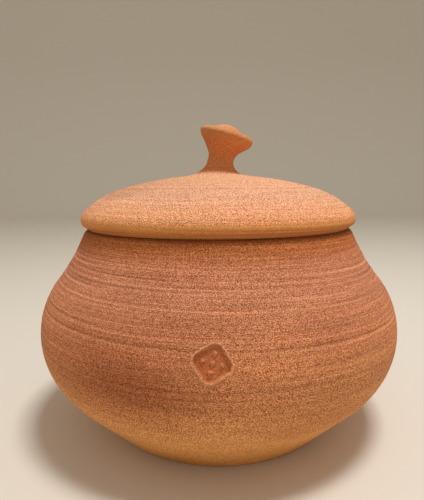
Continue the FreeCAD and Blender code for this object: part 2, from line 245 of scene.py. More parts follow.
def finished(mesh, name):
    """Turn a mesh into a smooth piece of the scene."""
    bmesh.ops.recalc_face_normals(mesh, faces=mesh.faces)
    for face in mesh.faces:
        face.smooth = True
    data = bpy.data.meshes.new(name)
    mesh.to_mesh(data)
    mesh.free()
    piece = bpy.data.objects.new(name, data)
    bpy.context.scene.collection.objects.link(piece)
    triangles = sum(len(face.vertices) - 2 for face in data.polygons)
    print(name, "has", triangles, "triangles")
    return piece


STAMP_TURN = -92.2  # degrees round the axis, where the front is at -90
NEAR_STAMP = 10.6  # degrees of the wall in closer steps
pot_mesh = swept(
    pot_section, STAMP_TURN - NEAR_STAMP / 2, [(NEAR_STAMP, 22), (NEAR_STAMP - 360, 178)]
)
print("open edges:", sum(len(edge.link_faces) != 2 for edge in pot_mesh.edges))

# %% [markdown]
# ## Throwing marks
# Fingers and a rib leave rings in the wet wall. A few are deep enough to catch the light round
# the shoulder, many are faint, and each fades in and out as it goes round. Here they lean a
# little, because the potter's hand rises while the wheel turns. They are real relief in the mesh,
# cut inwards, so the pot keeps its outline. A bump map alone would leave the shoulder's outline
# and its shadows too clean. The rings that can be told apart are listed, and chance adds the rest.

# %% The rings by height
# Height, depth and half width of the rings that can be told apart, from the belly to the neck
RINGS = [
    (60.9, 0.12, 0.8), (66.9, 0.22, 0.7), (72.0, 0.16, 0.6), (76.2, 0.18, 1.6), (80.4, 0.12, 0.7),
    (83.5, 0.15, 0.5), (86.2, 0.24, 1.0), (88.8, 0.14, 0.5), (91.2, 0.22, 0.8), (95.0, 0.20, 0.6),
    (97.3, 0.16, 0.5), (99.6, 0.20, 0.6), (103.0, 0.26, 0.8), (105.2, 0.16, 0.5),
    (107.6, 0.42, 0.7), (109.7, 0.20, 0.5), (112.2, 0.24, 0.9), (114.6, 0.20, 0.5),
    (117.8, 0.44, 0.7), (120.4, 0.20, 0.6), (122.4, 0.12, 0.5), (124.2, 0.20, 0.9),
]
FAINT_RINGS = 60
chance = random.Random(7)
for _ in range(FAINT_RINGS):
    depth = chance.uniform(0.04, 0.16)
    RINGS.append((chance.uniform(40, 127), depth, chance.uniform(0.4, 0.7)))
# The rings near each whole millimetre of height, so that only a few are tried at a point
close = {
    level: [(i, ring) for i, ring in enumerate(RINGS) if abs(ring[0] - level) < 5]
    for level in range(-4, 142)
}
print(len(RINGS), "rings, the deepest", max(ring[1] for ring in RINGS), "mm")

# %% [markdown]
# Over the height a ring is a soft groove, and a noise round the axis lets it fade where the hand
# was lighter. The rib also smooths the lower edge of a deep ring, so a second and narrower curve,
# below the ring's middle, says how much paler that edge is painted: partly for clay smoothed by
# the rib, and partly as a painted highlight where the groove's lower flank faces the lamp. A sine
# over the height would be shorter to write, but all its rings would look the same.

# %% How deep the rings are at a place
RING_LEAN = 0.0185  # how far a ring falls for each millimetre to the right
WAVER = 0.5
RING_REACH = 2.5  # in half widths
HIGHLIT_RUB_FROM = 0.15  # only rings deeper than this get a paler edge, for smoothing and as painted highlight
RUB_HIGHLIGHT_OFF, RUB_HIGHLIGHT_WIDTH = 1.1, 0.42  # how far below the ring's middle, and how wide, in half widths
MOST_RUB_HIGHLIGHT = 0.25


def smooth(low, high, x):
    x = min(max((x - low) / (high - low), 0.0), 1.0)
    return x * x * (3 - 2 * x)


def ring_depth(place):
    """How deep the throwing marks are at a place, in millimetres, and how much paler it is
    painted, for smoothing by the rib and as a painted highlight.
    """
    around_axis = Vector((place.x, place.y, 0)) / 90
    level = place.z + RING_LEAN * place.x
    level += WAVER * noise.noise(around_axis * 0.8)
    depth = rub_and_highlight = 0.0
    for number, (height, deep, width) in close[int(level)]:
        off = (level - height) / width
        if abs(off) < RING_REACH:
            fade = noise.noise(around_axis * 1.4 + Vector((0, 0, 5.7 * number)))
            fade = smooth(-0.45, 0.15, fade)
            depth += deep * math.exp(-off * off) * fade
            edge = math.exp(-(((off + RUB_HIGHLIGHT_OFF) / RUB_HIGHLIGHT_WIDTH) ** 2))
            rub_and_highlight += max(deep - HIGHLIT_RUB_FROM, 0) * edge * fade
    # The belly was wiped, so its rings are shallower than the shoulder's
    return depth * (0.6 + 0.4 * smooth(78, 96, level)), min(rub_and_highlight / MOST_RUB_HIGHLIGHT, 1.0)


depth, rub_and_highlight = ring_depth(Vector((0, -belly_radius, 107.6)))
print("at one place in front the wall is", round(depth, 2), "mm deep and rubbed", round(rub_and_highlight, 2))

# %% [markdown]
# ## The pressed stamp
# A potter's stamp is pushed into the leather-hard belly before firing. It leaves a square with
# rounded corners, a floor that follows the stamp's flat face, a soft edge, and a low lip where
# the clay was pushed aside. The sign in this stamp is five raised dots. First comes its place: a
# point on the belly's arc, and three axes, two along the stamp's face and one straight into the
# belly. An empty object could hold them, but they are only needed as numbers.

# %% The stamp's place
STAMP_RISE = math.radians(14.7)  # up the belly's round, from its widest place
STAMP_SPIN = math.radians(-31.5)
stamp_frame = Matrix.Rotation(math.radians(STAMP_TURN + 90), 4, "Z")
belly_round = (belly - high_centre).length
reach = high_centre.x + belly_round * math.cos(STAMP_RISE)
level = BELLY_HEIGHT + belly_round * math.sin(STAMP_RISE)
stamp_place = stamp_frame @ Vector((0, -reach, level))
tilt = Matrix.Rotation(-STAMP_RISE, 3, "X")
stamp_axes = stamp_frame.to_3x3() @ tilt @ Matrix.Rotation(STAMP_SPIN, 3, "Y")
print("the stamp's middle", [round(x, 1) for x in stamp_place], "mm")

# %% [markdown]
# The depth follows from the distance to the square's edge, which falls to the floor inside it and
# leaves the lip outside it. A Boolean cut would be quicker, but it would give a hard edge, which
# wet clay doesn't have.

# %% The stamp as a depth
STAMP_SIDE = 15.5
STAMP_CORNER = 4.2
STAMP_DEPTH = 1.9
LIP_OFF, LIP_RISE = 0.5, 0.2
DOT_OFF, DOT_RADIUS, DOT_TOP, DOT_RISE = 3.3, 1.75, 0.5, 0.85
DOTS = [(0, 0)] + [(x, y) for x in (-DOT_OFF, DOT_OFF) for y in (-DOT_OFF, DOT_OFF)]


def stamp_depth(place):
    """How deep the stamp presses at a place, in millimetres, and 1 on its floor, -1 on its lip."""
    flat = (place - stamp_place) @ stamp_axes
    across, up = flat.x, flat.z
    inner = STAMP_SIDE / 2 - STAMP_CORNER
    beyond = Vector((max(abs(across) - inner, 0), max(abs(up) - inner, 0)))
    within = min(max(abs(across), abs(up)) - inner, 0)
    gap = beyond.length + within - STAMP_CORNER
    depth = (STAMP_DEPTH - abs(flat.y)) * smooth(0.1, -0.8, gap)
    lip = math.exp(-(((gap - LIP_OFF) / LIP_OFF) ** 2))
    dots = 0.0
    for x, y in DOTS:
        off = math.hypot(across - x, up - y)
        dots = max(dots, DOT_RISE * smooth(DOT_RADIUS, DOT_TOP, off))
    dots *= smooth(0.0, -1.0, gap)
    floor_part = smooth(-0.2, -1.0, gap) * (1 - dots)
    # Below zero on the lip, which the clay later paints paler as a painted highlight where the
    # raised lip catches the lamp
    return depth - LIP_RISE * lip - dots, floor_part - 0.8 * lip


print(len(DOTS), "dots, and a dot's top lies", round(stamp_depth(stamp_place)[0], 2), "mm deep")

# %% [markdown]
# ## Marking the mesh
# The marks lie on the outer wall alone, so first its points are told from those of the inside.
# Under the stamp the level edges are cut in three, because dots need more points than a wall. A
# closer mesh all over would be simpler, but many times as heavy.

# %% Where the marks go
MARKS_FROM, MARKS_TO = 6, 133  # heights over the foot
STAMP_CLOSER, STAMP_REACH = 12.5, 14  # distances from the stamp's middle
outer_heights = [point.y for point in outside]
outer_radii = [point.x for point in outside]


def on_outside(place):
    """Whether a place in millimetres is on the outer wall, between foot and rim."""
    if place.z < MARKS_FROM or place.z > MARKS_TO:
        return False
    half_wall = 3
    outer = np.interp(place.z, outer_heights, outer_radii)
    return math.hypot(place.x, place.y) > outer - half_wall


def near_stamp(edge):
    """Whether an edge runs level, on the outside, over the place of the stamp."""
    places = [vert.co / MM for vert in edge.verts]
    level = abs(places[0].z - places[1].z) < 0.01
    return level and all(
        (place - stamp_place).length < STAMP_CLOSER and on_outside(place) for place in places
    )


closer = [edge for edge in pot_mesh.edges if near_stamp(edge)]
bmesh.ops.subdivide_edges(pot_mesh, edges=closer, cuts=2, use_grid_fill=True)
pot_mesh.normal_update()
print(len(closer), "edges cut in three under the stamp")

# %% [markdown]
# Then each point moves into the wall by the depth of the rings, and under the stamp straight in,
# as the stamp went. A Displace modifier with a texture could move the points too, but a depth in
# millimetres would be hard to read from it. How pressed a place is, and how much paler it is
# painted for smoothing and as a painted highlight, stays on the mesh as two values that the clay
# reads later.

# %% Mark the outside of the pot
moved = 0
pressed = pot_mesh.verts.layers.float.new("pressed")
rubbed_and_highlit = pot_mesh.verts.layers.float.new("rubbed_and_highlit")
for vert in pot_mesh.verts:
    place = vert.co / MM
    if not on_outside(place):
        continue
    # The rings fade out towards the trimmed foot and towards the rim
    shown = smooth(20, 42, place.z) * smooth(MARKS_TO, 127, place.z)
    depth, rub_and_highlight = ring_depth(place)
    shift = -vert.normal * depth * shown
    # Paler lower ring edges: partly clay smoothed by the rib, partly a painted highlight where the
    # flank faces the lamp
    vert[rubbed_and_highlit] = rub_and_highlight * shown
    if (place - stamp_place).length < STAMP_REACH:
        depth, vert[pressed] = stamp_depth(place)
        plain = 1 - smooth(0.0, 0.6, abs(depth))
        shift *= plain
        vert[rubbed_and_highlit] *= plain
        shift += stamp_axes @ Vector((0, depth, 0))
    vert.co += shift * MM
    moved += shift.length > 0.01
pot = finished(pot_mesh, "pot_clay_body")
print(moved, "points moved")

# %% [markdown]
# ## The lid's dome
# The lid is a shallow dome with a rounded edge that overhangs the rim a little. Three arcs give
# it: a wide one over the crown, one that falls to the side, and a small one round the edge. The
# middle one isn't chosen. It is the only arc that leaves the first and meets the third without a
# corner, as the potter's rib would make it.

# %% The arcs of the lid's dome
CROWN_RISE = 34.2
EDGE_ROUND = 9.0
EDGE_RISE = 5.2
EDGE_RADIUS = 90.9
CROWN = rim_height + CROWN_RISE
crown_edge = Vector((64.2, CROWN - 9.0))
edge = Vector((EDGE_RADIUS, rim_height + EDGE_RISE))
crown_centre = bend(Vector((0, CROWN)), Vector((1, 0)), crown_edge)
inward = (crown_centre - crown_edge).normalized()
edge_centre = edge - Vector((EDGE_ROUND, 0))
apart = crown_edge - edge_centre
side_curve = (EDGE_ROUND**2 - apart.dot(apart)) / (2 * (apart.dot(inward) + EDGE_ROUND))
side_centre = crown_edge + inward * side_curve
edge_top = edge_centre + (edge_centre - side_centre).normalized() * EDGE_ROUND
print("the arc down the side has a radius of", round(side_curve, 1), "mm")

# %% [markdown]
# ## The knob
# The knob was pulled up from the same clay, so it belongs to the same section: a flare at the
# crown, a narrow waist, and a head like a small mushroom with a ledge round a low button. The
# stem is a smooth curve through a few levels, because fingers leave no corners in it, and arcs
# would need a centre for each of its bends.

# %% The knob's section
def flowing(points, step):
    """A smooth curve through the points, by the rule of Catmull and Rom."""
    ends = [points[0]] + points + [points[-1]]
    curve = []
    for before, one, two, after in zip(ends, ends[1:], ends[2:], ends[3:]):
        count = max(2, round((two - one).length / step))
        for i in range(count + 1):
            t = i / count
            leave, arrive = (two - before) / 2, (after - one) / 2
            curve.append(
                one * (2 * t**3 - 3 * t**2 + 1) + leave * (t**3 - 2 * t**2 + t)
                + two * (3 * t**2 - 2 * t**3) + arrive * (t**3 - t**2)
            )
    return curve


# Levels of the knob: height over the crown, radius, shift to the right, lean in degrees
KNOB = [
    (-0.98, 22.0, 0.0, 0.0), (-0.3, 18.4, 0.0, 0.0), (1.0, 14.6, 0.2, 0.0),
    (3.8, 11.0, 0.9, 0.0), (6.5, 9.3, 1.6, 0.3), (9.2, 8.8, 2.2, 1.0), (13.5, 9.6, 3.8, 5.5),
    (18.4, 13.4, 4.7, 14.5), (21.8, 16.8, 5.6, 16.0), (24.7, 18.0, 6.2, 16.0),
]
HEAD_LEVEL, HEAD_RADIUS = KNOB[-1][:2]
HEAD_ROUND = 2.8
BUTTON_RADIUS, LEDGE_RISE, BUTTON_RISE = 11.8, 1.7, 7.3
knob_edge = Vector((0, CROWN + HEAD_LEVEL))
button_foot = knob_edge + Vector((BUTTON_RADIUS, LEDGE_RISE))
button_top = knob_edge + Vector((0, BUTTON_RISE))
lip = knob_edge + Vector((HEAD_RADIUS - HEAD_ROUND, 0))
lip_top, lip_side = lip + Vector((0, HEAD_ROUND)), lip + Vector((HEAD_ROUND, 0))
knob_section = join(
    around(bend(button_top, Vector((1, 0)), button_foot), button_top, button_foot, step=0.7),
    straight(button_foot, lip_top, step=0.6),
    around(lip, lip_top, lip_side, step=0.4),
    flowing([Vector((radius, CROWN + level)) for level, radius, _, _ in KNOB[::-1]], step=0.7),
)
print("the knob's section has", len(knob_section), "points")

# %% [markdown]
# ## Under the lid
# Under its edge the lid turns in to a flat seat, and then a ring hangs down inside the mouth to
# hold it in place. The hollow above follows the dome at the thickness of the wall. Both lie out
# of sight, so they are as such lids have them, with wider steps between the points.

# %% The lid's underside, and its sweep
LID_WALL = 7.0
UNDER_ROUND = 3.5
SEAT_RADIUS, RING_OUTSIDE, RING_INSIDE = 86.2, 79.7, 73.7
RING_DROP = 9.0
RING_ROUND, BUTTON_ROUND, LID_HOLLOW_ROUND = 1.5, 2.5, 8.0
under_centre = edge - Vector((UNDER_ROUND, 0))
bevel_top = Vector((89.565, rim_height + 2.65))
seat_edge = Vector((SEAT_RADIUS, rim_height))
seat_inner = Vector((RING_OUTSIDE, rim_height))
ring_low = Vector((RING_OUTSIDE, rim_height - RING_DROP))
ring_inner = Vector((RING_INSIDE, rim_height - RING_DROP))
hollow_curve = side_curve - LID_WALL
hollow_up = math.sqrt(hollow_curve**2 - (ring_inner.x - side_centre.x) ** 2)
hollow_foot = Vector((ring_inner.x, side_centre.y + hollow_up))
hollow_edge = crown_edge + inward * LID_WALL
below = join(
    around(under_centre, edge, bevel_top, step=0.5),
    straight(bevel_top, seat_edge, step=0.8),
    straight(seat_edge, seat_inner, step=1.6),
    straight(seat_inner, ring_low, step=1.6),
    straight(ring_low, ring_inner, step=1.6),
    straight(ring_inner, hollow_foot, step=2.0),
    around(side_centre, hollow_foot, hollow_edge, step=2.2),
    around(crown_centre, hollow_edge, Vector((0, CROWN - LID_WALL)), step=2.4),
)
crown_start = Vector((KNOB[0][1], CROWN + KNOB[0][0]))
lid_section = join(
    knob_section,
    around(crown_centre, crown_start, crown_edge, step=0.8),
    around(side_centre, crown_edge, edge_top, step=0.7),
    around(edge_centre, edge_top, edge, step=0.7),
    below,
)
for corner, radius in (
    (ring_low, RING_ROUND), (ring_inner, RING_ROUND), (button_foot, BUTTON_ROUND)
):
    lid_section = soften(lid_section, corner, radius)
lid_section = soften(lid_section, hollow_foot, LID_HOLLOW_ROUND, step=1.2)
lid_mesh = swept(lid_section, 90.0, [(360, 180)])
print("the lid's half section has", len(lid_section), "points")

# %% [markdown]
# ## Rings on the dome
# The dome was turned with a rib too, but more evenly, so its rings are faint and none stands out.
# A noise that is stretched round the axis gives them, where the pot's rings were listed one by
# one.

# %% Faint rings on the dome
KNOB_ROOT = 24.0  # how far from the axis the knob's flare reaches
DOME_RING_DEPTH = 0.09
touched = 0
for vert in lid_mesh.verts:
    place = vert.co / MM
    spread = math.hypot(place.x, place.y)
    if place.z > rim_height + 6 and spread > KNOB_ROOT and vert.normal.z > 0.1:
        lines = noise.noise(Vector((spread * 0.75, place.x / 140, place.y / 140)))
        lines += 0.6 * noise.noise(Vector((spread * 1.7, place.x / 110, place.y / 110 + 9)))
        depth = DOME_RING_DEPTH * smooth(-0.4, 0.9, lines) * smooth(KNOB_ROOT, 34, spread)
        vert.co -= vert.normal * depth * MM
        touched += 1
print(touched, "points of the dome lie in its rings")

# %% [markdown]
# ## The leaning knob
# The potter bent the head over while the clay was soft. So each level of the knob keeps its round
# section, but moves aside and tips over more and more towards the head, and the head itself stays
# stiff. Leaning the mesh level by level keeps the neck smooth. A lattice could bend it too, but
# this says plainly how far each level goes.

# %% The lean of the knob
LOWEST_LEVEL = -1.2  # just under the flare, and above the hollow
shifts = flowing([Vector((level, shift)) for level, _, shift, _ in KNOB], step=0.5)
leans = flowing([Vector((level, lean)) for level, _, _, lean in KNOB], step=0.5)
shift_at = [list(values) for values in zip(*shifts)]
lean_at = [list(values) for values in zip(*leans)]
for vert in lid_mesh.verts:
    place = vert.co / MM
    level = place.z - CROWN
    spread = math.hypot(place.x, place.y)
    if level < LOWEST_LEVEL or spread > KNOB_ROOT:
        continue
    low = min(max(level, 0), HEAD_LEVEL)
    lean = math.radians(np.interp(low, *lean_at))
    aside = np.interp(low, *shift_at)
    if level < 5:
        aside *= smooth(23, 15, spread)
    head = max(level - low, 0)
    x = aside + place.x * math.cos(lean) + head * math.sin(lean)
    z = min(level, low) - place.x * math.sin(lean) + head * math.cos(lean)
    vert.co = Vector((x, place.y, z + CROWN)) * MM
lid = finished(lid_mesh, "lid_clay_body")
print("top of the leaning knob", round(max(v.co.z for v in lid.data.vertices) / MM, 2), "mm")

# %% [markdown]
# ## Shared effects for unglazed clay
# Three effects make this clay: wheel lines, grog and the kiln's blush. Each is a node group with
# its own inputs, so the same group serves the pot and the lid. In the editor the nodes would be
# drawn with a mouse. In a script a few helpers keep them as short to read as a sum.

# %% Help for node groups
def feed(tree, socket, given):
    """Link a socket to another one, or set it to a value."""
    if isinstance(given, bpy.types.NodeSocket):
        tree.links.new(given, socket)
    else:
        socket.default_value = given


def add(tree, kind, values=None, **settings):
    """A node with settings, and with its inputs set to values or linked to sockets."""
    node = tree.nodes.new("ShaderNode" + kind)
    for key, setting in settings.items():
        setattr(node, key, setting)
    for key, given in (values or {}).items():
        feed(tree, node.inputs[key], given)
    return node


def maths(tree, operation, *values):
    return add(tree, "Math", dict(enumerate(values)), operation=operation).outputs[0]


def ranged(tree, source, low, high, out_low=0.0, out_high=1.0):
    """Spread the part of a value between low and high over a new range, softly."""
    values = {"Value": source, "From Min": low, "From Max": high,
              "To Min": out_low, "To Max": out_high}
    return add(tree, "MapRange", values, interpolation_type="SMOOTHSTEP").outputs["Result"]


def node_group(name, inputs, outputs):
    """An empty group with named inputs and outputs, each a kind and a starting value."""
    group = bpy.data.node_groups.new(name, "ShaderNodeTree")
    for title, (kind, start) in inputs.items():
        socket = group.interface.new_socket(title, in_out="INPUT", socket_type="NodeSocket" + kind)
        if start is not None:
            socket.default_value = start
    for title, kind in outputs.items():
        group.interface.new_socket(title, in_out="OUTPUT", socket_type="NodeSocket" + kind)
    return group, group.nodes.new("NodeGroupInput"), group.nodes.new("NodeGroupOutput")


print("help for node groups is ready")

# %% [markdown]
# The first effect is the wheel's fine lines: noise that is stretched very long round the axis and
# stays short across it. It reads four values, of which two follow the height and the distance
# from the axis closely, so the lines stay rings on a wall and on a dome.

# %% Wheel lines
ROUND_THE_AXIS = 11.0  # how many times in a metre the noise changes along a line
wheel_lines, given, result = node_group(
    "Wheel lines",
    {"Place": ("Vector", None), "Lines per mm": ("Float", 1.0), "Seed": ("Float", 0.0)},
    {"Lines": "Float"},
)
x, y, z = add(wheel_lines, "SeparateXYZ", {"Vector": given.outputs["Place"]}).outputs
per_metre = maths(wheel_lines, "MULTIPLY", given.outputs["Lines per mm"], 1000.0)
flat = add(wheel_lines, "CombineXYZ", {"X": x, "Y": y})
spread = add(wheel_lines, "VectorMath", {0: flat.outputs[0]}, operation="LENGTH").outputs["Value"]
leaning = maths(wheel_lines, "MULTIPLY_ADD", x, RING_LEAN, z)
short_z = maths(wheel_lines, "MULTIPLY", leaning, per_metre)
short_r = maths(wheel_lines, "MULTIPLY_ADD", spread, per_metre, given.outputs["Seed"])
long_x = maths(wheel_lines, "MULTIPLY", x, ROUND_THE_AXIS)
long_y = maths(wheel_lines, "MULTIPLY", y, ROUND_THE_AXIS)
stretched = add(wheel_lines, "CombineXYZ", {"X": long_x, "Y": long_y, "Z": short_z})
streaks = add(
    wheel_lines, "TexNoise",
    {"Vector": stretched.outputs[0], "W": short_r, "Scale": 1.0, "Detail": 2.5},
    noise_dimensions="4D",
)
wheel_lines.links.new(streaks.outputs[0], result.inputs["Lines"])
print("the group", wheel_lines.name, "has", len(wheel_lines.nodes), "nodes")

# %% [markdown]
# The second effect is grog, the crushed fired clay that the potter mixes in. Its grains stand out
# of the surface after firing, and the trimming tool drags some out and leaves short pits, longer
# round the pot than up it. Cells give the grains, in about one cell of four. The peaks of one
# noise are the pits, and a finer noise is the sand between them. Painting them as an image would
# show the same speckle on every pot.

# %% Grog
DRAGGED = (0.62, 0.62, 1.35)
CELLS_WITHOUT_GRAIN = 0.72
grog, given, result = node_group(
    "Grog",
    {"Place": ("Vector", None), "Grain size in mm": ("Float", 1.1), "Seed": ("Float", 0.0)},
    {"Pits": "Float", "Grains": "Float", "Sand": "Float"},
)
scale = maths(grog, "DIVIDE", 1000.0, given.outputs["Grain size in mm"])
offset = add(grog, "CombineXYZ", {"X": given.outputs["Seed"], "Y": given.outputs["Seed"]})
place = add(grog, "VectorMath", {0: given.outputs["Place"], 1: offset.outputs[0]}).outputs[0]
dragged = add(grog, "VectorMath", {0: place, 1: DRAGGED}, operation="MULTIPLY").outputs[0]
pit_noise = add(grog, "TexNoise", {"Vector": dragged, "Scale": scale, "Detail": 1.5})
cells = add(grog, "TexVoronoi", {"Vector": place, "Scale": scale}, feature="F1")
picked = add(grog, "SeparateColor", {"Color": cells.outputs["Color"]})
chosen = maths(grog, "GREATER_THAN", picked.outputs[0], CELLS_WITHOUT_GRAIN)
round_grain = ranged(grog, cells.outputs["Distance"], 0.42, 0.12)
fine_scale = maths(grog, "MULTIPLY", scale, 1.7)
sand = add(grog, "TexNoise", {"Vector": place, "Scale": fine_scale, "Detail": 2.0})
grog.links.new(ranged(grog, pit_noise.outputs[0], 0.64, 0.74), result.inputs["Pits"])
grog.links.new(maths(grog, "MULTIPLY", chosen, round_grain), result.inputs["Grains"])
grog.links.new(sand.outputs[0], result.inputs["Sand"])
print("the group", grog.name, "has", len(grog.nodes), "nodes")

# %% [markdown]
# The third effect is the kiln's blush. Where the flame and the smoke went, the clay is pinker or
# browner, in wide clouds that stretch round the pot. One place is the smokiest, where a flame
# licked the belly, so the group also takes that place and how far the smoke reached.

# %% Kiln blush
SMOKE_IN_CLOUDS = 0.4
blush, given, result = node_group(
    "Kiln blush",
    {"Place": ("Vector", None), "Cloud size in mm": ("Float", 90.0), "Seed": ("Float", 0.0),
     "Smoky place": ("Vector", (0.0, 0.0, 0.0)), "Smoky reach in mm": ("Float", 80.0)},
    {"Pink": "Float", "Smoke": "Float"},
)
cloud_scale = maths(blush, "DIVIDE", 1000.0, given.outputs["Cloud size in mm"])
offset = add(blush, "CombineXYZ", {"Z": given.outputs["Seed"]})
place = add(blush, "VectorMath", {0: given.outputs["Place"], 1: offset.outputs[0]}).outputs[0]
wide = add(blush, "VectorMath", {0: place, 1: (1, 1, 2.2)}, operation="MULTIPLY").outputs[0]
clouds = add(blush, "TexNoise", {"Vector": wide, "Scale": cloud_scale, "Detail": 2.0})
elsewhere = add(blush, "VectorMath", {0: wide, 1: (3.1, 1.7, 0.6)}).outputs[0]
drifts = add(blush, "TexNoise", {"Vector": elsewhere, "Scale": cloud_scale, "Detail": 1})
away = add(
    blush, "VectorMath", {0: given.outputs["Place"], 1: given.outputs["Smoky place"]},
    operation="SUBTRACT",
).outputs[0]
flatter = add(blush, "VectorMath", {0: away, 1: (1, 1, 1.9)}, operation="MULTIPLY").outputs[0]
far = add(blush, "VectorMath", {0: flatter}, operation="LENGTH").outputs["Value"]
reach = maths(blush, "MULTIPLY", given.outputs["Smoky reach in mm"], MM)
uneven = maths(blush, "MULTIPLY_ADD", clouds.outputs[0], 0.9, maths(blush, "DIVIDE", far, reach))
spot = ranged(blush, uneven, 1.4, 0.5)
drift = maths(blush, "MULTIPLY", ranged(blush, drifts.outputs[0], 0.52, 0.70), SMOKE_IN_CLOUDS)
blush.links.new(ranged(blush, clouds.outputs[0], 0.38, 0.62), result.inputs["Pink"])
blush.links.new(maths(blush, "MAXIMUM", spot, drift), result.inputs["Smoke"])
print("the group", blush.name, "has", len(blush.nodes), "nodes")

# %% [markdown]
# ## The clay's main tones
# The colour of the clay changes with height, because the kiln is hotter in one place and the clay
# is trimmed in another, and just under the lid the ramp also holds painted shade and a painted
# highlight. So a ramp over the height gives the main tones. They could be painted on the mesh, but
# pairs of a height and a colour are few, and easy to compare with the real clay.

# %% Tones over the height
def linear(red, green, blue):
    """A colour as it is measured on a screen, turned into light."""
    parts = [c / 255 for c in (red, green, blue)]
    parts = [c / 12.92 if c < 0.04045 else ((c + 0.055) / 1.055) ** 2.4 for c in parts]
    return (*parts, 1.0)


def toned(tree, height, tones):
    """A ramp of colours over the height, from pairs of a height in millimetres and a colour."""
    lowest, highest = tones[0][0], tones[-1][0]
    span = {"Value": height, "From Min": lowest * MM, "From Max": highest * MM}
    ramp = add(tree, "ValToRGB", {"Fac": add(tree, "MapRange", span).outputs["Result"]})
    stops = ramp.color_ramp.elements
    for level, colour in tones[1:-1]:
        stops.new((level - lowest) / (highest - lowest)).color = linear(*colour)
    stops[0].color = linear(*tones[0][1])
    stops[-1].color = linear(*tones[-1][1])
    return ramp.outputs["Color"]


print("a mid grey is", round(linear(128, 128, 128)[0], 3), "of white as light")

# %% [markdown]
# Over the tones lie the kiln's blush, the wheel lines and the sandy grain. Each is a tint that
# multiplies the colour under it, since clay is stained and not painted. The stamp's floor is
# multiplied too, by a darker tint that is painted shade in the recess. Where another clay shows,
# as in a grain of grog, the colours are mixed instead. The lower edges of deep rings are also
# mixed paler, partly for clay smoothed by the rib and partly as a painted highlight, and the
# stamp's lip is mixed paler as a painted highlight.

# %% Stains, painted shade and painted highlight over the tones
PINK_TINT = (1.0, 0.90, 0.92, 1)
SMOKE_TINT = (0.63, 0.50, 0.46, 1)
PIT_TINT = (0.55, 0.42, 0.36, 1)
# Painted shade: a darker, browner tint for the stamp's floor, where the recess lies in shade
STAMP_FLOOR_SHADE = (0.87, 0.74, 0.60, 1)
DARK_GRAIN = (0.50, 0.30, 0.21, 1)
LIGHT_GRAIN = (1.48, 1.70, 1.82, 1)
PALE_CLAY = linear(236, 178, 134)


def mixed(tree, how, amount, one, two):
    node = add(tree, "Mix", data_type="RGBA", blend_type=how, clamp_factor=True)
    for index, given in ((0, amount), (6, one), (7, two)):
        feed(tree, node.inputs[index], given)
    return node.outputs[2]


def fired(tree, colour, kiln):
    """The colour after the kiln: pinker and smokier in wide clouds."""
    pinker = mixed(tree, "MULTIPLY", 1.0, colour, PINK_TINT)
    colour = mixed(tree, "MIX", maths(tree, "MULTIPLY", kiln["Pink"], 0.35), colour, pinker)
    return mixed(tree, "MULTIPLY", kiln["Smoke"], colour, SMOKE_TINT)


def lined(tree, colour, lines, seen, amount):
    """The colour with lines that are darker and lighter by the share that is seen."""
    swing = maths(tree, "MULTIPLY", ranged(tree, lines, 0.34, 0.66, -seen, seen), amount)
    return mixed(tree, "MULTIPLY", 1.0, colour, maths(tree, "ADD", swing, 1.0))


def sanded(tree, colour, sand, softness, amount):
    """The colour with dark and light grain, which blend more where softness is larger."""
    sandy = ranged(tree, sand, 0.5 - softness, 0.5 + softness)
    grain = mixed(tree, "MIX", sandy, DARK_GRAIN, LIGHT_GRAIN)
    return mixed(tree, "MULTIPLY", amount, colour, grain)


print("three kinds of stain are ready")

# %% [markdown]
# ## What is left of each mark
# Fingers have smoothed the knob, the stamp its floor, and the trimming tool the foot, so lines,
# grain and pits are weaker there. One function gathers all the marks, each with the share that is
# left. They could be worked out where they are used, but the colour and the relief have to show
# the same marks in the same places.

# %% Marks in the clay
LINES_PER_MM, FINE_LINES_PER_MM = 0.45, 1.5
GRAIN_SIZE = 0.74
HANDLED_FROM, HANDLED_TO = 169, 174  # heights over the foot, where the knob begins
TRIMMED_TO, UNTRIMMED_FROM = 25, 80  # heights over the foot


def use(tree, group, values):
    """The outputs of a group placed in a tree, with its inputs set or linked."""
    node = tree.nodes.new("ShaderNodeGroup")
    node.node_tree = group
    for key, given in values.items():
        feed(tree, node.inputs[key], given)
    return node.outputs


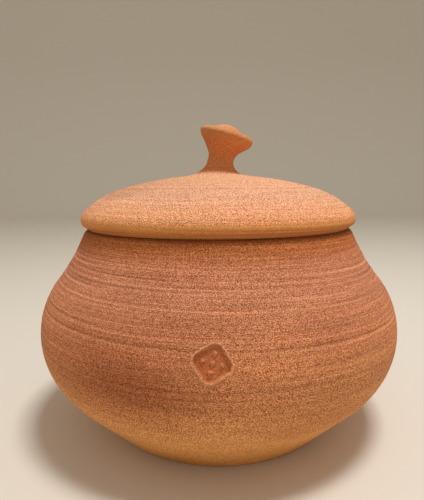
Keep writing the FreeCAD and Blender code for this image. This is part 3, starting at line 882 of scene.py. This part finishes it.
def marks_in(tree, place, height, seed, calm):
    """All marks by name. Below the two heights in calm only its last value of grain is left."""
    lines, fine = [
        use(tree, wheel_lines, {"Place": place, "Lines per mm": often, "Seed": start})["Lines"]
        for often, start in ((LINES_PER_MM, seed), (FINE_LINES_PER_MM, seed + 4))
    ]
    grit = use(tree, grog, {"Place": place, "Grain size in mm": GRAIN_SIZE, "Seed": seed})
    stamped = add(tree, "Attribute", attribute_name="pressed").outputs["Fac"]
    # The stamp's floor calms the grain, and the clay later darkens it as painted shade
    stamp_floor = maths(tree, "MAXIMUM", stamped, 0.0)
    lip = maths(tree, "MULTIPLY", maths(tree, "MINIMUM", stamped, 0.0), -1.0)
    rub_and_highlight = add(tree, "Attribute", attribute_name="rubbed_and_highlit").outputs["Fac"]
    handled = ranged(tree, height, HANDLED_FROM * MM, HANDLED_TO * MM, 0.0, 0.5)
    rough = maths(tree, "SUBTRACT", maths(tree, "MULTIPLY_ADD", stamp_floor, -0.5, 1.0), handled)
    turned = ranged(tree, height, TRIMMED_TO * MM, UNTRIMMED_FROM * MM, 0.4, 1.0)
    calm_low, calm_high, left = calm
    calmed = ranged(tree, height, calm_low * MM, calm_high * MM, left, 1.0)
    return {
        "lines": lines,
        "fine lines": fine,
        "share of lines": maths(tree, "MULTIPLY", turned, rough),
        "sand": grit["Sand"],
        "share of sand": maths(tree, "MULTIPLY", rough, calmed),
        "pits": maths(tree, "MULTIPLY", grit["Pits"], rough),
        "grains": maths(tree, "MULTIPLY", grit["Grains"], rough),
        # Paler ring edges and stamp lip: partly smoothing by the rib, partly painted highlight
        "rub and highlight": maths(tree, "MULTIPLY", maths(tree, "MAXIMUM", rub_and_highlight, lip), 0.5),
        "stamp floor": stamp_floor,
    }


print("marks are gathered from", wheel_lines.name, "and", grog.name)

# %% [markdown]
# ## The clay
# Unglazed clay is almost fully matt: light enters a dry, rough surface and leaves it evenly. Its
# relief of lines, grains and pits is a bump, since it is finer than any mesh should be. Pot and
# lid could have a material each, drawn by itself, but they are the same clay with other tones, so
# one function makes both.

# %% A clay material
RELIEF_DEPTH = 0.35


def clay(name, tones, seed, lines_seen, softness, calm, smoky_place):
    """Clay whose tones are pairs of a height in millimetres and a colour."""
    material = bpy.data.materials.new(name)
    material.use_nodes = True
    tree = material.node_tree
    place = add(tree, "TexCoord").outputs["Object"]
    height = add(tree, "SeparateXYZ", {"Vector": place}).outputs["Z"]
    marks = marks_in(tree, place, height, seed, calm)
    kiln = use(tree, blush, {"Place": place, "Seed": seed, "Smoky place": smoky_place})

    colour = fired(tree, toned(tree, height, tones), kiln)
    for mark, seen in (("lines", 0.4 * lines_seen), ("fine lines", lines_seen)):
        colour = lined(tree, colour, marks[mark], seen, marks["share of lines"])
    colour = sanded(tree, colour, marks["sand"], softness, marks["share of sand"])
    stained = maths(tree, "MULTIPLY", marks["pits"], 0.55)
    colour = mixed(tree, "MULTIPLY", stained, colour, PIT_TINT)
    # Grog grains are mixed towards paler clay. Ring edges and the stamp's lip are mixed paler too,
    # partly for smoothing and partly as painted highlight
    pale = maths(tree, "MULTIPLY_ADD", marks["grains"], 0.30, marks["rub and highlight"])
    colour = mixed(tree, "MIX", pale, colour, PALE_CLAY)
    # Painted shade: the stamp's floor is multiplied darker and browner for the shade in the recess
    colour = mixed(tree, "MULTIPLY", marks["stamp floor"], colour, STAMP_FLOOR_SHADE)

    relief = maths(tree, "MULTIPLY", marks["lines"], 0.55)
    for mark, share in (("fine lines", 0.35), ("sand", 0.8), ("grains", 0.35), ("pits", -0.5)):
        relief = maths(tree, "MULTIPLY_ADD", marks[mark], share, relief)
    bump = add(tree, "Bump", {"Height": relief, "Distance": RELIEF_DEPTH * MM,
                              "Strength": marks["share of sand"]})
    surface = tree.nodes["Principled BSDF"]
    tree.links.new(colour, surface.inputs["Base Color"])
    tree.links.new(bump.outputs[0], surface.inputs["Normal"])
    surface.inputs["Roughness"].default_value = 0.92
    surface.inputs["Specular IOR Level"].default_value = 0.25
    print(name, "has", len(tree.nodes), "nodes")
    return material


# %% [markdown]
# The pot is yellow at its foot and redder up to the neck. At the neck its clay is browner and is
# also darkened as painted shade from the lid's edge, the rounded rim gets a lighter stop as a
# painted highlight, and the seat under the lid is darkest as painted shade between lid and pot.
# The lid is palest on its dome and redder on its knob. One ramp for both would save a material,
# but their tones meet with a step at the rim, so each piece has its own.

# %% The clay of pot and lid
pot_clay = clay(
    "pot_clay", [
        (0, (232, 166, 90)), (22, (229, 163, 95)), (48, (219, 151, 94)), (62, (207, 137, 87)),
        (78, (204, 132, 86)), (92, (199, 128, 87)), (108, (189, 122, 88)), (120, (191, 122, 86)),
        # From 129 mm up: browner clay that is also darkened as painted shade under the lid's edge,
        # a painted highlight at 131.5 mm on the rim's rounding, and painted shade darkest at the
        # seat under the lid
        (129, (176, 102, 54)), (131.5, (184, 110, 60)), (133, (170, 100, 52)),
        (134.5, (140, 80, 42)),
    ],
    seed=0.0, lines_seen=0.16, softness=0.08, calm=(8, 40, 0.62),
    smoky_place=(-0.048, -0.109, 0.070),
)
lid_clay = clay(
    "lid_clay", [
        (124, (176, 114, 66)), (138, (206, 134, 72)), (141, (222, 150, 86)),
        (143, (227, 156, 108)), (156, (214, 160, 126)), (169, (218, 162, 123)),
        (171, (210, 134, 81)), (180, (202, 128, 77)), (194, (206, 138, 83)),
        (202, (220, 163, 120)),
    ],
    seed=0.35, lines_seen=0.10, softness=0.14, calm=(139.8, 142.8, 0.4),
    smoky_place=(-0.080, 0.060, 0.150),
)
print("materials:", pot_clay.name, lid_clay.name)

# %% [markdown]
# ## Joining the frame
# The two pieces take the place of the plain solids and ride on the same body, because the lid
# only rests on the rim.

# %% Pieces, materials and frame
for piece, node, slot, material in (
    (pot, "pot", "pot_clay", pot_clay),
    (lid, "lid", "lid_clay", lid_clay),
):
    piece.data.materials.append(material)
    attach(piece, "root")
    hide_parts(node)
print("pieces:", [piece.name for piece in (pot, lid)])

# %% [markdown]
# ## The floor
# The pot stands on a plain pale sheet that curves up behind it, so there is no horizon. A flat
# plane would be simpler, but its far edge would cross the picture behind the lid.

# %% Floor
SHEET_NEAR, SHEET_BEND, BEND_ROUND = -4.0, 2.2, 1.2  # in metres
SHEET_HALF_WIDTH, SHEET_TOP = 5.0, 4.0
sheet = bmesh.new()
start = sheet.verts.new((0, SHEET_NEAR, 0))
front = sheet.verts.new((0, SHEET_BEND, 0))
sheet.edges.new((start, front))
bmesh.ops.spin(
    sheet, geom=[front], cent=(0, SHEET_BEND, BEND_ROUND), axis=(1, 0, 0),
    angle=math.radians(90), steps=24,
)
top = max(sheet.verts, key=lambda vert: vert.co.z)
wall_top = sheet.verts.new((0, top.co.y, SHEET_TOP))
sheet.edges.new((top, wall_top))
made = bmesh.ops.extrude_edge_only(sheet, edges=sheet.edges)["geom"]
other_side = [item for item in made if isinstance(item, bmesh.types.BMVert)]
for vert in sheet.verts:
    vert.co.x = SHEET_HALF_WIDTH if vert in other_side else -SHEET_HALF_WIDTH
bmesh.ops.recalc_face_normals(sheet, faces=sheet.faces)
if sum(face.normal.z for face in sheet.faces) < 0:
    bmesh.ops.reverse_faces(sheet, faces=sheet.faces)
floor = finished(sheet, "floor")
paper = bpy.data.materials.new("pale_sheet")
paper.use_nodes = True
paper_surface = paper.node_tree.nodes["Principled BSDF"]
paper_surface.inputs["Base Color"].default_value = linear(216, 210, 200)
paper_surface.inputs["Roughness"].default_value = 0.9
paper_surface.inputs["Specular IOR Level"].default_value = 0.1
floor.data.materials.append(paper)

# %% [markdown]
# ## The light
# One lamp hangs above, a little in front and to the right. It is small enough to give the shadow
# on the floor an edge, and large enough to keep the quiet tones of the clay. The pale world fills
# what the lamp doesn't reach. A sun would be simpler to place, but its shadow would be too hard.

# %% Light
lamp_data = bpy.data.lights.new("soft_light", "AREA")
lamp_data.shape = "RECTANGLE"
lamp_data.size = 0.36
lamp_data.size_y = 0.28
lamp_data.energy = 16.8
lamp_data.color = (1.0, 0.98, 0.96)
lamp = bpy.data.objects.new("soft_light", lamp_data)
lamp.location = (0.26, -0.21, 1.5)
lamp.rotation_euler = (0.149, 0.184, 0)
bpy.context.scene.collection.objects.link(lamp)
world = bpy.data.worlds.new("room")
world.use_nodes = True
sky = world.node_tree.nodes["Background"]
sky.inputs["Color"].default_value = (1.0, 0.90, 0.76, 1)
sky.inputs["Strength"].default_value = 0.52
bpy.context.scene.world = world
bpy.context.scene.view_settings.view_transform = "Standard"
print("one soft light of", lamp_data.energy, "W and a pale world")
